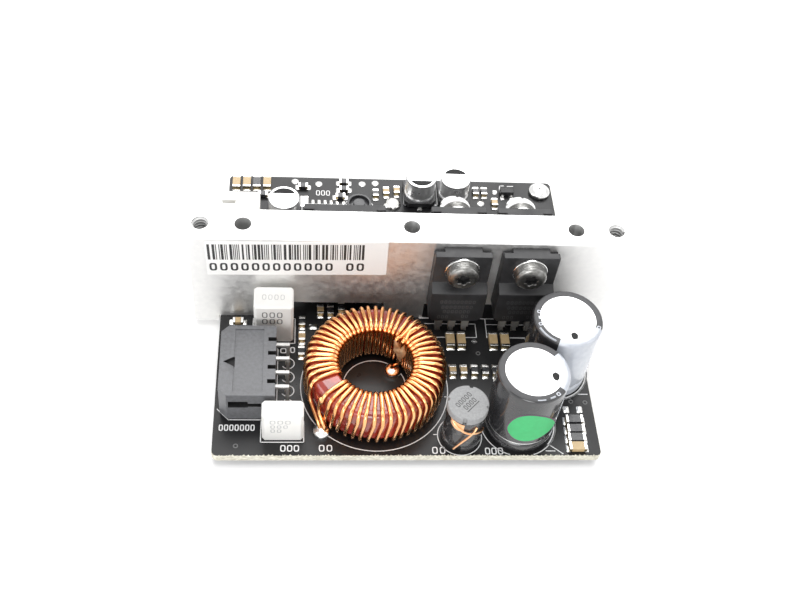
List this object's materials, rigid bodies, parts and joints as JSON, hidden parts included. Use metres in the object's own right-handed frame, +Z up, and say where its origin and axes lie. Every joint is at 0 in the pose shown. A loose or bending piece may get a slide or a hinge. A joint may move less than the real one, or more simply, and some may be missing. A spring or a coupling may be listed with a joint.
{
  "type": "power supply module",
  "caption": "Open power supply module: black circuit board under an upright metal heatsink bar, with a copper-wound toroid, round capacitors, connectors and bolted transistors.",
  "frame": {"origin": "on the surface the module stands on, under the middle of the heatsink bar's length and of the board's depth", "axes": "+X along the heatsink bar, away from the input connector; +Y from the toroid's edge of the board to the rear; +Z up from the board"},
  "size_m": [0.079, 0.0676, 0.0255],
  "materials": {
    "bar_aluminium": "matte anodised",
    "board_black": "black solder mask over glass fibre",
    "package_black": "moulded epoxy",
    "tinned_lead": "tinned",
    "plated_screw": "bright plated",
    "core_red": "glossy dark red",
    "copper_wire": "enamelled copper",
    "connector_grey": "moulded, satin",
    "connector_white": "moulded, satin",
    "film_case": "moulded, satin",
    "can_aluminium": "bright",
    "sleeve_dark": "shrunk film, glossy",
    "ferrite_grey": "ground ferrite",
    "ferrite_dark": "ground ferrite",
    "wrap_dark": "shrunk sleeve",
    "base_black": "moulded",
    "chip_tan": "fired",
    "chip_black": "glazed",
    "solder": "bright solder",
    "label_white": "matte"
  },
  "bodies": {
    "root": {"board_screws": "plated_screw", "can_leads": "tinned_lead", "ceramic_chip_ends": "solder", "ceramic_chips": "chip_tan", "chip_capacitor_bases": "base_black", "chip_capacitor_cans": "can_aluminium", "chip_capacitor_tabs": "tinned_lead", "choke_leads": "copper_wire", "circuit_board": "board_black", "controller_body": "package_black", "controller_leads": "tinned_lead", "corner_nut": "plated_screw", "corner_screw": "plated_screw", "film_capacitor_leads": "tinned_lead", "front_can": "can_aluminium", "front_can_sleeve": "sleeve_dark", "front_choke_core": "ferrite_grey", "front_choke_winding": "wrap_dark", "front_left_transistor": "package_black", "front_left_transistor_leads": "tinned_lead", "front_right_transistor": "package_black", "front_right_transistor_leads": "tinned_lead", "heatsink_bar": "bar_aluminium", "input_connector": "connector_grey", "input_connector_pins": "tinned_lead", "label": "label_white", "output_connector": "connector_white", "output_connector_pins": "tinned_lead", "rear_can": "can_aluminium", "rear_can_sleeve": "sleeve_dark", "rear_left_choke_core": "ferrite_grey", "rear_left_choke_winding": "wrap_dark", "rear_left_transistor": "package_black", "rear_left_transistor_leads": "tinned_lead", "rear_right_choke_core": "ferrite_grey", "rear_right_choke_winding": "wrap_dark", "rear_right_transistor": "package_black", "rear_right_transistor_leads": "tinned_lead", "resistor_chip_ends": "solder", "resistor_chips": "chip_black", "round_choke": "ferrite_dark", "short_film_capacitor": "film_case", "small_transistor": "package_black", "small_transistor_leads": "tinned_lead", "solder_domes": "solder", "solder_joints": "solder", "solder_pads": "solder", "tall_film_capacitor": "film_case", "toroid_core": "core_red", "toroid_winding": "copper_wire", "toroid_wire_ends": "copper_wire", "transistor_screws": "plated_screw", "transistor_washers": "plated_screw", "wide_rectifier": "package_black", "wide_rectifier_leads": "tinned_lead"}
  },
  "joints": []
}
